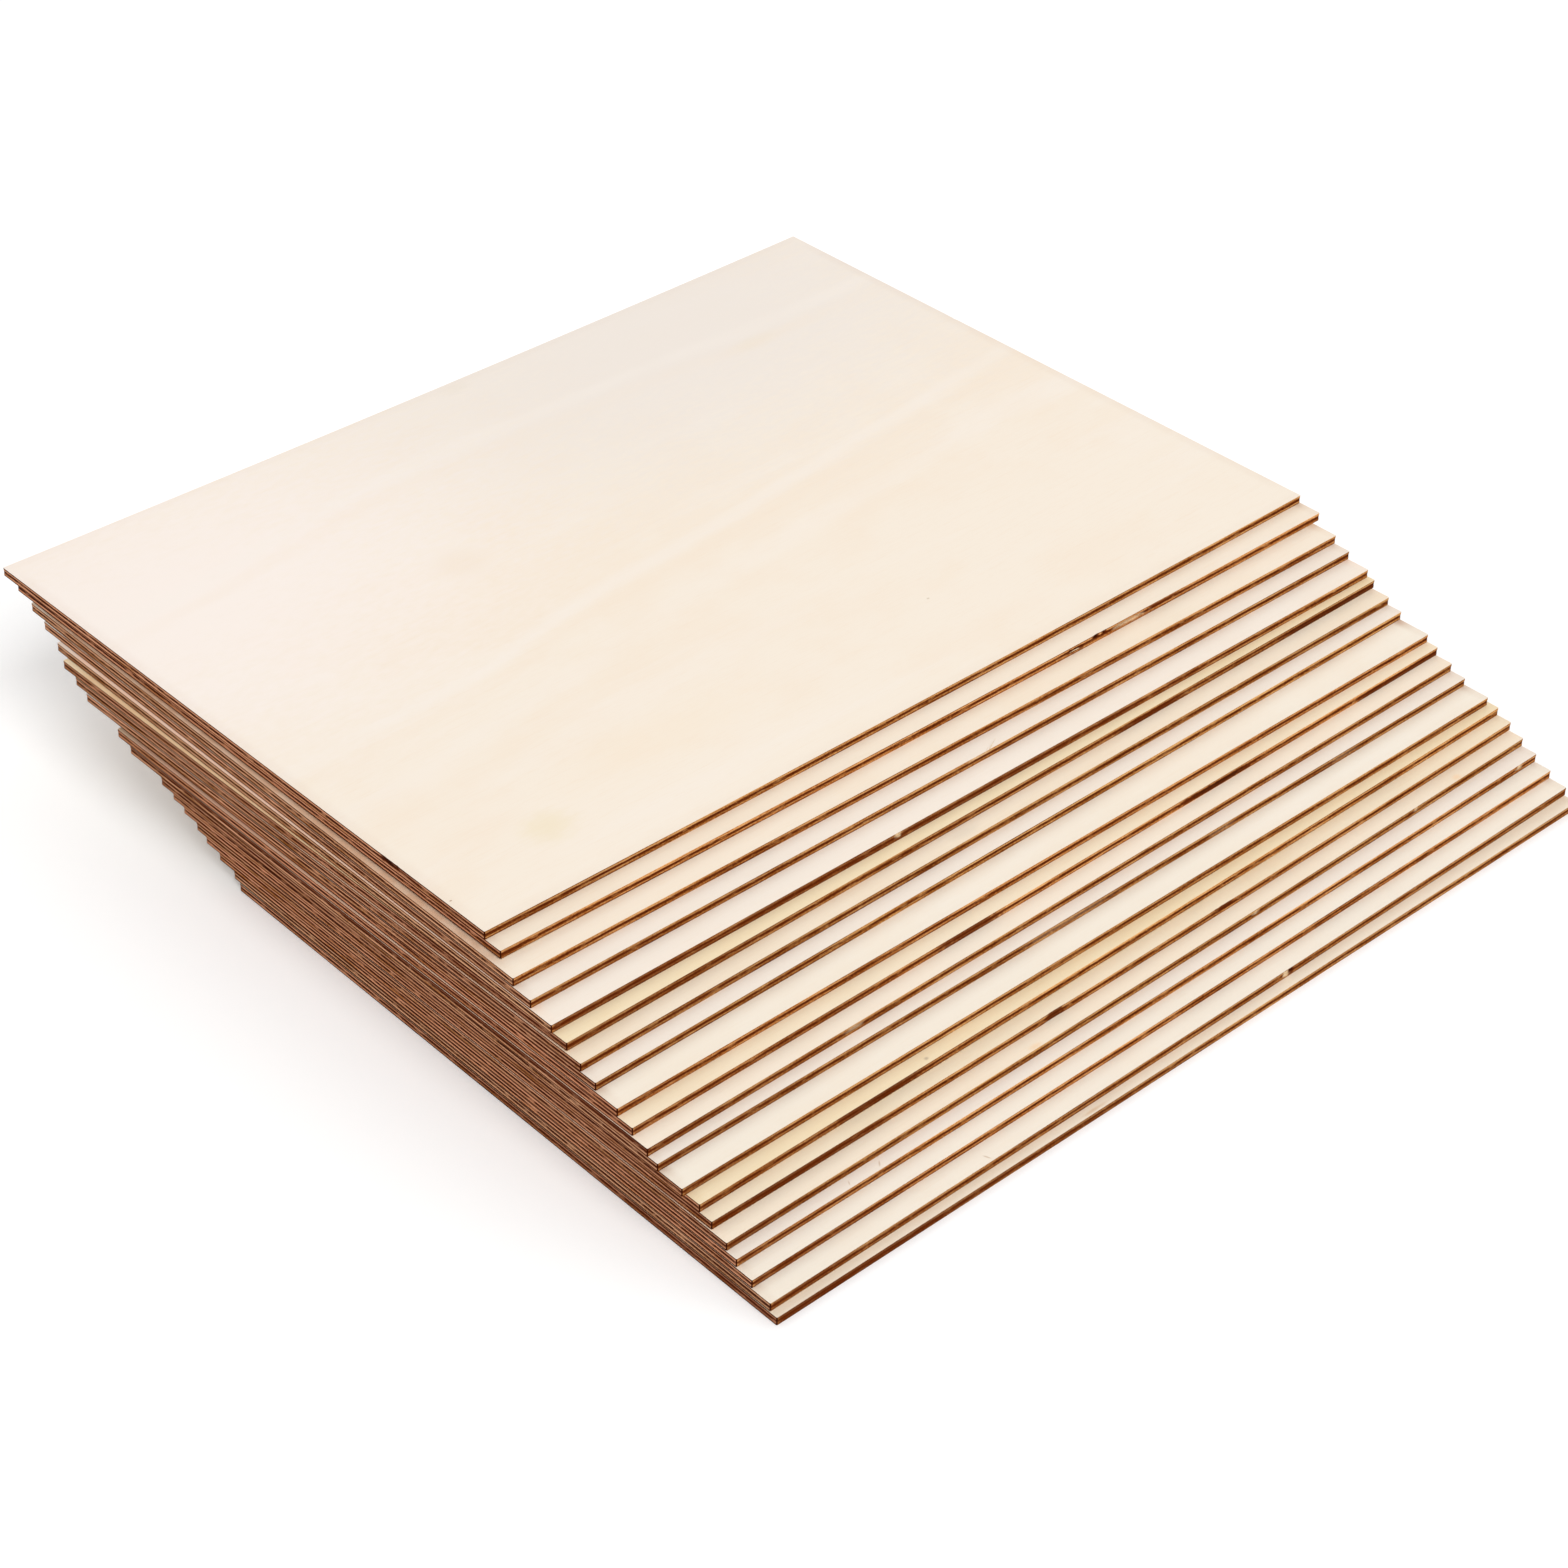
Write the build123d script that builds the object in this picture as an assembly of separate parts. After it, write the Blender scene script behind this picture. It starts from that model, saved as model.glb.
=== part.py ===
from build123d import *
import os
from dataclasses import dataclass

# A slid-over stack of thin three-ply plywood sheets, lying flat on the floor.
# X runs along the sheets' long side, Y along their short side and Z up. The stack's long edges
# fan out towards -Y, the lower the sheet the further. The origin is on the floor, in the middle
# of the stack's outline seen from above.

# Driving dimensions, in millimetres and degrees.
sheet_length = 297.0
sheet_width = 210.0
sheet_thickness = 2.5
corner_radius = 0.8
seat_gap = 0.02      # air left where two sheets touch, so that skewed neighbours never overlap


@dataclass
class Sheet:
    step: float      # how far its long edge stands out past the sheet above, towards -Y
    slide: float     # how far its short edge stands from the top sheet's, along X
    skew: float      # how far it is turned about its front left corner, in degrees
    rake: float      # how far out of square it is cut, its back edge standing off towards +X
    bow: float       # how far its short ends curl up above its middle


# The sheets as they lie, from the top one down.
stack = [
    Sheet(step=0.0, slide=0.0, skew=0.0, rake=0.0, bow=0.9),
    Sheet(step=5.5, slide=0.3, skew=-0.3, rake=-0.7, bow=0.8),
    Sheet(step=7.0, slide=-1.7, skew=-0.5, rake=0.2, bow=0.4),
    Sheet(step=6.3, slide=-1.7, skew=-0.3, rake=0.6, bow=0.2),
    Sheet(step=7.8, slide=-1.9, skew=-0.2, rake=0.0, bow=0.2),
    Sheet(step=4.8, slide=-1.3, skew=0.3, rake=-0.3, bow=0.1),
    Sheet(step=5.2, slide=-1.5, skew=0.2, rake=-0.3, bow=-0.2),
    Sheet(step=5.2, slide=-1.4, skew=0.3, rake=-0.3, bow=-0.2),
    Sheet(step=7.9, slide=-1.6, skew=-0.1, rake=0.3, bow=0.0),
    Sheet(step=5.2, slide=-1.5, skew=0.2, rake=0.1, bow=0.1),
    Sheet(step=5.5, slide=-1.7, skew=0.2, rake=0.3, bow=0.1),
    Sheet(step=3.3, slide=-1.5, skew=-0.1, rake=0.8, bow=0.1),
    Sheet(step=7.9, slide=-1.0, skew=-0.1, rake=0.3, bow=0.2),
    Sheet(step=4.5, slide=0.4, skew=0.2, rake=0.4, bow=0.4),
    Sheet(step=4.1, slide=0.5, skew=0.1, rake=0.3, bow=0.9),
    Sheet(step=5.3, slide=0.3, skew=0.2, rake=1.1, bow=0.7),
    Sheet(step=3.4, slide=0.3, skew=-0.1, rake=0.4, bow=0.6),
    Sheet(step=5.3, slide=0.3, skew=-0.1, rake=0.7, bow=0.4),
    Sheet(step=6.3, slide=0.2, skew=0.0, rake=1.2, bow=0.4),
    Sheet(step=2.2, slide=0.3, skew=-0.3, rake=0.1, bow=0.0),
]


def bowed_line(height, bow):
    """One face of a sheet seen from its long edge: an arc, or a straight line where it is flat."""
    left = (0, height + bow)
    middle = (sheet_length / 2, height)
    right = (sheet_length, height + bow)
    if bow == 0:
        return Line(left, right)
    return ThreePointArc(left, middle, right)


def plywood_sheet(bow, rake):
    """A sheet with its front left corner at the origin, bent along its length into a shallow arc."""
    across = Vector(rake, sheet_width, 0)
    with BuildPart() as sheet:
        with BuildSketch(Plane.XZ):
            with BuildLine():
                underside = bowed_line(0, bow)
                face = bowed_line(sheet_thickness, bow)
                Line(underside @ 0, face @ 0)
                Line(underside @ 1, face @ 1)
            make_face()
        extrude(amount=across.length, dir=across)
        fillet(sheet.edges().filter_by(Axis.Z), corner_radius)
    return sheet.part


def seat_heights():
    """The height of each sheet's middle, found from the bottom sheet up.

    A sheet that is bowed more than the one below touches it in the middle, and one that is
    bowed less touches it at the short ends."""
    heights = [0.0]
    for upper, lower in zip(reversed(stack[:-1]), reversed(stack[1:])):
        lift = max(0.0, lower.bow - upper.bow)
        heights.append(heights[-1] + sheet_thickness + seat_gap + lift)
    return list(reversed(heights))


laid = []
fan = 0.0
for place, height in zip(stack, seat_heights()):
    fan += place.step
    laid.append(Pos(place.slide, -fan, height) * Rot(0, 0, place.skew) * plywood_sheet(place.bow, place.rake))

outline = Compound(laid).bounding_box()
to_origin = Pos(-outline.center().X, -outline.center().Y, -outline.min.Z)

os.makedirs("parts", exist_ok=True)
for number, sheet in enumerate(laid, start=1):
    export_step(to_origin * sheet, f"parts/sheet_{number:02d}.step")
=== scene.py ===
import math
import random
import bmesh
import bpy
from mathutils import Matrix, Vector, noise


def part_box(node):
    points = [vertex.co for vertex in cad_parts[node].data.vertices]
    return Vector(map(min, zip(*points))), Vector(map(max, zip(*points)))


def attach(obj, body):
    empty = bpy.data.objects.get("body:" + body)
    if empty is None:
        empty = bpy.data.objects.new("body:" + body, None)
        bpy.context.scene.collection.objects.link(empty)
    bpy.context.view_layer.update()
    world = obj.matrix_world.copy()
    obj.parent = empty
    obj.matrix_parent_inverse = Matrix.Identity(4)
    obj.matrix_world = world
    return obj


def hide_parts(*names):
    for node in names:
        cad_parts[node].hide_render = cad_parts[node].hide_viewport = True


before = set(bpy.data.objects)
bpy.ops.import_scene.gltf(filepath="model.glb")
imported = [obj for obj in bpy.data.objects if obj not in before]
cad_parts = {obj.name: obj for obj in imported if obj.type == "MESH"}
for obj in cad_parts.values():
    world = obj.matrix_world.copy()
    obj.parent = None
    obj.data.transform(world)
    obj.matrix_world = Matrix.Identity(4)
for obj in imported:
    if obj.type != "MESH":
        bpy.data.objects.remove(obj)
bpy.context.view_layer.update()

# Looks of a slid-over stack of twenty thin three-ply sheets with burnt brown cut edges.
# Sheet coordinates: x along the long side, y along the short side, from the front left corner.

mm = 0.001
scene = bpy.context.scene


# small helpers for nodes

def addNode(tree, kind, values=None, **settings):
    node = tree.nodes.new(kind)
    for key, value in settings.items():
        setattr(node, key, value)
    for key, value in (values or {}).items():
        if isinstance(value, bpy.types.NodeSocket):
            tree.links.new(value, node.inputs[key])
        else:
            node.inputs[key].default_value = value
    return node


def calc(tree, operation, a, b=0.0, c=0.0, clamp=False):
    node = addNode(tree, "ShaderNodeMath", {0: a, 1: b, 2: c}, operation=operation, use_clamp=clamp)
    return node.outputs[0]


def vectorCalc(tree, operation, a, b=(0, 0, 0)):
    return addNode(tree, "ShaderNodeVectorMath", {0: a, 1: b}, operation=operation).outputs[0]


def blendColors(tree, factor, a, b, mode="MIX"):
    node = addNode(tree, "ShaderNodeMix", {0: factor, 6: a, 7: b}, data_type="RGBA", blend_type=mode)
    return node.outputs[2]


def blendValues(tree, factor, a, b):
    return addNode(tree, "ShaderNodeMix", {0: factor, 2: a, 3: b}).outputs[0]


def rampTo(tree, value, low, high, outLow=0.0, outHigh=1.0):
    node = addNode(tree, "ShaderNodeMapRange", {0: value, 1: low, 2: high, 3: outLow, 4: outHigh},
                   interpolation_type="SMOOTHSTEP")
    return node.outputs[0]


def cloud(tree, vector, stretch, turn=0.0, detail=3.0, rough=0.5, warp=0.0):
    # noise drawn out along one axis, stretch in cells for each millimetre
    moved = addNode(tree, "ShaderNodeMapping",
                    {"Vector": vector, "Scale": stretch, "Rotation": (0, 0, turn)})
    node = addNode(tree, "ShaderNodeTexNoise",
                   {"Vector": moved.outputs[0], "Scale": 1.0, "Detail": detail, "Roughness": rough,
                    "Distortion": warp})
    return node.outputs[0]


def newGroup(name, inputs, outputs):
    tree = bpy.data.node_groups.new(name, "ShaderNodeTree")
    for label, kind, value in inputs:
        socket = tree.interface.new_socket(name=label, in_out="INPUT", socket_type="NodeSocket" + kind)
        if value is not None:
            socket.default_value = value
    for label, kind in outputs:
        tree.interface.new_socket(name=label, in_out="OUTPUT", socket_type="NodeSocket" + kind)
    return tree, addNode(tree, "NodeGroupInput").outputs, addNode(tree, "NodeGroupOutput").inputs


def placeGroup(tree, group, values):
    return addNode(tree, "ShaderNodeGroup", values, node_tree=group).outputs


# node groups shared by the sheets

def makeVeneerGroup():
    tree, given, out = newGroup("sandedVeneer", [
        ("Position", "Vector", None),      # sheet coordinates in millimetres
        ("Shift", "Vector", (0, 0, 0)),    # takes each sheet from another part of the pattern
        ("Tint", "Color", (0.95, 0.85, 0.72, 1)),
        ("Pale", "Color", (0.96, 0.9, 0.82, 1)),
        ("Warm", "Color", (0.93, 0.78, 0.6, 1)),
        ("Streaks", "Float", 0.4),
        ("Clouds", "Float", 0.4),
        ("Fibre", "Float", 0.3),
    ], [("Color", "Color"), ("Roughness", "Float"), ("Height", "Float")])
    moved = vectorCalc(tree, "ADD", given["Position"], given["Shift"])
    broad = cloud(tree, moved, (0.006, 0.016, 1), 0.06, detail=2, rough=0.45, warp=0.3)
    streak = cloud(tree, moved, (0.005, 0.06, 1), 0.08, detail=4, rough=0.55, warp=0.5)
    mottle = cloud(tree, moved, (0.045, 0.06, 1), detail=3, rough=0.55)
    fibre = cloud(tree, moved, (0.07, 2.2, 1), 0.03, detail=3, rough=0.6)
    fleck = cloud(tree, moved, (0.35, 5.0, 1), 0.03, detail=1, rough=0.5)
    cloudy = calc(tree, "MULTIPLY_ADD", mottle, 0.45, calc(tree, "MULTIPLY", broad, 0.55))
    warmth = calc(tree, "MULTIPLY", rampTo(tree, cloudy, 0.46, 0.62), given["Clouds"])
    color = blendColors(tree, warmth, given["Tint"], given["Warm"])
    paleness = calc(tree, "MULTIPLY", rampTo(tree, streak, 0.52, 0.7), given["Streaks"])
    color = blendColors(tree, paleness, color, given["Pale"])
    lines = calc(tree, "MULTIPLY_ADD", fleck, 0.35, calc(tree, "MULTIPLY", fibre, 0.65))
    shade = calc(tree, "MULTIPLY", rampTo(tree, lines, 0.48, 0.72), given["Fibre"])
    color = blendColors(tree, shade, color, given["Warm"], "MULTIPLY")
    tree.links.new(color, out["Color"])
    tree.links.new(calc(tree, "MULTIPLY_ADD", fibre, 0.16, 0.55), out["Roughness"])
    tree.links.new(lines, out["Height"])
    return tree


def makeSpotGroup():
    tree, given, out = newGroup("softSpot", [
        ("Position", "Vector", None),
        ("Centre", "Vector", (0, 0, 0)),
        ("Reach", "Vector", (10, 10, 1)),   # half length and half width in millimetres
        ("Turn", "Float", 0.0),
        ("Ragged", "Float", 0.5),
        ("Amount", "Float", 1.0),
    ], [("Mask", "Float")])
    away = vectorCalc(tree, "SUBTRACT", given["Position"], given["Centre"])
    turned = addNode(tree, "ShaderNodeVectorRotate", {"Vector": away, "Angle": given["Turn"]},
                     rotation_type="Z_AXIS").outputs[0]
    flat = vectorCalc(tree, "MULTIPLY", vectorCalc(tree, "DIVIDE", turned, given["Reach"]), (1, 1, 0))
    distance = addNode(tree, "ShaderNodeVectorMath", {0: flat}, operation="LENGTH").outputs["Value"]
    wobble = calc(tree, "SUBTRACT", cloud(tree, given["Position"], (0.25, 0.6, 1)), 0.5)
    distance = calc(tree, "MULTIPLY_ADD", wobble, given["Ragged"], distance)
    tree.links.new(calc(tree, "MULTIPLY", rampTo(tree, distance, 1.0, 0.1), given["Amount"]), out["Mask"])
    return tree


def makeStreakGroup():
    tree, given, out = newGroup("growthStreak", [
        ("Position", "Vector", None),
        ("Middle", "Float", 100.0),         # where the streak runs, in millimetres across the sheet
        ("Half", "Float", 4.0),             # half its width
        ("Amount", "Float", 0.5),
    ], [("Light", "Float"), ("Dark", "Float")])
    across = addNode(tree, "ShaderNodeSeparateXYZ", {0: given["Position"]}).outputs[1]
    waver = calc(tree, "SUBTRACT", cloud(tree, given["Position"], (0.03, 0.1, 1), detail=3), 0.5)
    patchy = rampTo(tree, cloud(tree, given["Position"], (0.02, 0.05, 1), detail=2), 0.3, 0.62, 0.45, 1.0)
    offset = calc(tree, "SUBTRACT", across, given["Middle"])
    offset = calc(tree, "MULTIPLY_ADD", waver, given["Half"], offset)
    near = calc(tree, "DIVIDE", offset, given["Half"])
    strength = calc(tree, "MULTIPLY", given["Amount"], patchy)
    light = calc(tree, "MULTIPLY", rampTo(tree, calc(tree, "ABSOLUTE", near), 1.0, 0.1), strength)
    below = calc(tree, "ABSOLUTE", calc(tree, "ADD", near, 1.5))
    dark = calc(tree, "MULTIPLY", rampTo(tree, below, 0.9, 0.1), strength)
    tree.links.new(light, out["Light"])
    tree.links.new(dark, out["Dark"])
    return tree


# painted shade and warm bounce light on a face near its sides: strong along the short sides, where the
# strips lie in the shade of the sheet above, faint along the long ones
def makeRimGroup():
    tree, given, out = newGroup("paintedRimShading", [
        ("Position", "Vector", None),
        ("Size", "Vector", (297, 210, 0)),
        ("Reach", "Float", 4.0),            # how far the painted shade goes in from a side, in millimetres
        ("LongAmount", "Float", 0.04),
        ("ShortAmount", "Float", 0.9),
    ], [("Mask", "Float")])
    far = vectorCalc(tree, "SUBTRACT", given["Size"], given["Position"])
    closest = vectorCalc(tree, "MINIMUM", given["Position"], far)
    fromShort, fromLong = addNode(tree, "ShaderNodeSeparateXYZ", {0: closest}).outputs[:2]
    uneven = cloud(tree, given["Position"], (0.16, 0.16, 1), detail=3, rough=0.6)
    patchy = rampTo(tree, uneven, 0.36, 0.6, 0.7, 1.0)
    # the painted shade on the short sides fades out towards the corners
    inner = rampTo(tree, fromLong, 3.0, 14.0, 0.12, 1.0)
    shortAmount = calc(tree, "MULTIPLY", given["ShortAmount"], inner)
    masks = []
    for inward, amount in ((fromShort, shortAmount), (fromLong, given["LongAmount"])):
        near = rampTo(tree, calc(tree, "DIVIDE", inward, given["Reach"]), 1.0, 0.3)
        masks.append(calc(tree, "MULTIPLY", calc(tree, "MULTIPLY", near, patchy), amount))
    tree.links.new(calc(tree, "MAXIMUM", masks[0], masks[1]), out["Mask"])
    return tree


# of the cut edges
burntColors = {
    "Veneer": (0.45, 0.16, 0.03, 1),       # the outer plies
    "Tan": (0.88, 0.5, 0.2, 1),            # their lighter lines on the long sides
    "EndTan": (0.97, 0.47, 0.27, 1),       # the same on the short sides
    "Core": (0.115, 0.017, 0.001, 1),      # the middle ply
    "Char": (0.036, 0.006, 0.001, 1),
    "Fresh": (0.92, 0.7, 0.44, 1),         # bare wood in chips and torn fibres
}


def makeBurntGroup():
    tree, given, out = newGroup("burntPly", [
        ("Position", "Vector", None),
        ("Shift", "Vector", (0, 0, 0)),
        ("Depth", "Float", 0.5),           # 0 at the upper face, 1 at the lower
        ("Short", "Float", 0.0),           # 1 on the short sides, where the outer plies show end grain
        ("Scorch", "Float", 0.0),          # more char, painted on the mesh
        ("Bare", "Float", 0.0),            # fresh wood in chips, painted on the mesh
        *((label, "Color", color) for label, color in burntColors.items()),
        ("Lines", "Float", 0.85),          # how much of the lighter and darker lines shows
    ], [("Color", "Color"), ("Roughness", "Float"), ("Height", "Float")])
    place = addNode(tree, "ShaderNodeSeparateXYZ", {0: given["Position"]}).outputs
    along = calc(tree, "ADD", place[0], place[1])
    down = calc(tree, "MULTIPLY", given["Depth"], 2.5)      # a sheet's thickness in millimetres
    moved = addNode(tree, "ShaderNodeCombineXYZ", {0: along, 1: down}).outputs[0]
    moved = vectorCalc(tree, "ADD", moved, given["Shift"])
    bands = cloud(tree, moved, (0.04, 1.4, 1), detail=2, rough=0.5)
    threads = cloud(tree, moved, (0.12, 4.0, 1), detail=3, rough=0.6)
    lines = calc(tree, "MULTIPLY_ADD", threads, 0.5, calc(tree, "MULTIPLY", bands, 0.5))
    dots = cloud(tree, moved, (1.3, 2.2, 1), detail=3, rough=0.65)
    blotch = cloud(tree, moved, (0.22, 0.8, 1), detail=3, rough=0.6)
    drift = cloud(tree, moved, (0.016, 0.1, 1), detail=3, rough=0.55)
    outerGrain = blendValues(tree, calc(tree, "MULTIPLY_ADD", given["Short"], -0.1, 0.3), lines, dots)
    coreGrain = blendValues(tree, calc(tree, "MULTIPLY_ADD", given["Short"], -0.5, 0.6), lines, dots)
    # the plies, a little wavy along the edge
    wave = calc(tree, "MULTIPLY", calc(tree, "SUBTRACT", drift, 0.5), 0.16)
    wave = calc(tree, "MULTIPLY_ADD", calc(tree, "SUBTRACT", blotch, 0.5), 0.08, wave)
    depth = calc(tree, "ADD", given["Depth"], wave)
    core = calc(tree, "MULTIPLY", rampTo(tree, depth, 0.22, 0.4), rampTo(tree, depth, 0.76, 0.56))
    core = calc(tree, "MULTIPLY", core, rampTo(tree, blotch, 0.32, 0.48, 0.5, 1.0))
    lighter = calc(tree, "MULTIPLY_ADD", given["Depth"], -0.09, outerGrain)
    lighter = calc(tree, "MULTIPLY_ADD", given["Short"], 0.08, lighter)
    tanShare = calc(tree, "MULTIPLY", rampTo(tree, lighter, 0.4, 0.56), given["Lines"])
    outer = blendColors(tree, tanShare, given["Veneer"],
                        blendColors(tree, given["Short"], given["Tan"], given["EndTan"]))
    darkShare = calc(tree, "MULTIPLY", rampTo(tree, lighter, 0.44, 0.33), given["Lines"])
    outer = blendColors(tree, darkShare, outer, given["Core"])
    inner = blendColors(tree, rampTo(tree, coreGrain, 0.5, 0.36), given["Core"], given["Char"])
    inner = blendColors(tree, calc(tree, "MULTIPLY", rampTo(tree, coreGrain, 0.52, 0.68), 0.4), inner,
                        given["Veneer"])
    inner = blendColors(tree, calc(tree, "MULTIPLY", given["Short"], 0.75), inner, given["Char"])
    color = blendColors(tree, core, outer, inner)
    # burnt more and less from place to place
    burnt = calc(tree, "MULTIPLY_ADD", blotch, 0.4, calc(tree, "MULTIPLY", drift, 0.6))
    burnt = calc(tree, "ADD", burnt, given["Scorch"])
    color = blendColors(tree, rampTo(tree, burnt, 0.5, 1.05, 0.0, 0.85), color, given["Core"])
    color = blendColors(tree, rampTo(tree, burnt, 1.0, 1.7), color, given["Char"])
    # char along both arrises, with a pale rim under the lower one on the long sides. On the short sides
    # the dark bands are wider and darker: char, and painted shade in the joints between the sheets
    upper = calc(tree, "MULTIPLY_ADD", given["Short"], -0.05, given["Depth"])
    lower = calc(tree, "MULTIPLY_ADD", given["Short"], 0.04, given["Depth"])
    aboveRim = rampTo(tree, given["Depth"], 0.97, 0.92)
    aboveRim = calc(tree, "MULTIPLY_ADD", given["Short"], 1.0, aboveRim, clamp=True)
    lowerCharAndShade = calc(tree, "MULTIPLY", rampTo(tree, lower, 0.8, 0.9), aboveRim)
    arris = calc(tree, "MAXIMUM", rampTo(tree, upper, 0.17, 0.05), lowerCharAndShade)
    firm = rampTo(tree, drift, 0.42, 0.6, blendValues(tree, given["Short"], 0.05, 0.85),
                  blendValues(tree, given["Short"], 0.7, 1.0))
    arrisColor = blendColors(tree, calc(tree, "MULTIPLY", given["Short"], 0.7), given["Core"],
                             given["Char"])
    color = blendColors(tree, calc(tree, "MULTIPLY", arris, firm), color, arrisColor)
    bare = calc(tree, "MULTIPLY", given["Bare"], rampTo(tree, dots, 0.3, 0.5, 0.5, 1.0))
    color = blendColors(tree, bare, color, given["Fresh"])
    tree.links.new(color, out["Color"])
    tree.links.new(calc(tree, "MULTIPLY_ADD", dots, 0.2, 0.75), out["Roughness"])
    height = calc(tree, "MULTIPLY_ADD", outerGrain, 0.7, calc(tree, "MULTIPLY", dots, 0.4))
    tree.links.new(height, out["Height"])
    return tree


veneerGroup = makeVeneerGroup()
spotGroup = makeSpotGroup()
streakGroup = makeStreakGroup()
rimGroup = makeRimGroup()
burntGroup = makeBurntGroup()
print("node groups made")


# the sheets

sheetValues = {
    "length": 297.0,
    "width": 210.0,
    "solidRadius": 0.8,            # of the solids' corners
    "cornerRadius": 0.35,          # of the real ones, which look sharper
    "thickness": 2.5,
    "pointEvery": 0.95,            # spacing of the points round the edge
    "cornerSteps": 4,
    "sharpAngle": 0.9,             # in radians, past which an edge of the mesh stays sharp
    # the cut edge from the upper face down: share of the thickness, inset and unevenness in millimetres
    "edgeProfile": [
        (0.000, 0.05, 0.00),
        (0.012, 0.02, 0.01),
        (0.050, 0.01, 0.02),
        (0.180, 0.01, 0.03),
        (0.320, 0.02, 0.03),
        (0.355, 0.08, 0.03),
        (0.410, 0.06, 0.05),
        (0.500, 0.05, 0.06),
        (0.590, 0.06, 0.05),
        (0.645, 0.08, 0.03),
        (0.680, 0.02, 0.03),
        (0.820, 0.01, 0.03),
        (0.950, 0.01, 0.02),
        (0.986, 0.05, 0.01),
        (1.000, 0.13, 0.00),
    ],
    # noise in the cut edge: cells for each millimetre, shift for each sheet, change down the edge
    "fineNoise": (0.9, 31, 3),
    "slowNoise": (0.12, 17, 1.5),
    "cornerScorch": 1.1,
    # the front edge is burnt more towards its left end, the more so the lower the sheet
    "frontBurn": {"start": 0.8, "over": 130, "least": -0.4, "amount": 0.2, "lower": 0.014},
    # and the left edge is burnt more towards its front end
    "leftBurn": {"start": 0.5, "amount": 0.3},
}

# tint, paler streaks, warmer clouds
tints = {
    "ivory": ((0.93, 0.83, 0.71, 1), (0.94, 0.87, 0.80, 1), (0.92, 0.78, 0.63, 1)),
    "cream": ((0.93, 0.82, 0.68, 1), (0.95, 0.87, 0.78, 1), (0.91, 0.76, 0.58, 1)),
    "white": ((0.93, 0.85, 0.73, 1), (0.95, 0.89, 0.80, 1), (0.92, 0.80, 0.65, 1)),
    "lilac": ((0.92, 0.83, 0.73, 1), (0.94, 0.88, 0.82, 1), (0.91, 0.79, 0.66, 1)),
    "buff": ((0.92, 0.79, 0.59, 1), (0.94, 0.84, 0.68, 1), (0.89, 0.72, 0.48, 1)),
    "straw": ((0.92, 0.80, 0.64, 1), (0.94, 0.85, 0.73, 1), (0.89, 0.73, 0.53, 1)),
    "yellow": ((0.93, 0.78, 0.53, 1), (0.94, 0.82, 0.62, 1), (0.9, 0.71, 0.43, 1)),
}
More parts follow.
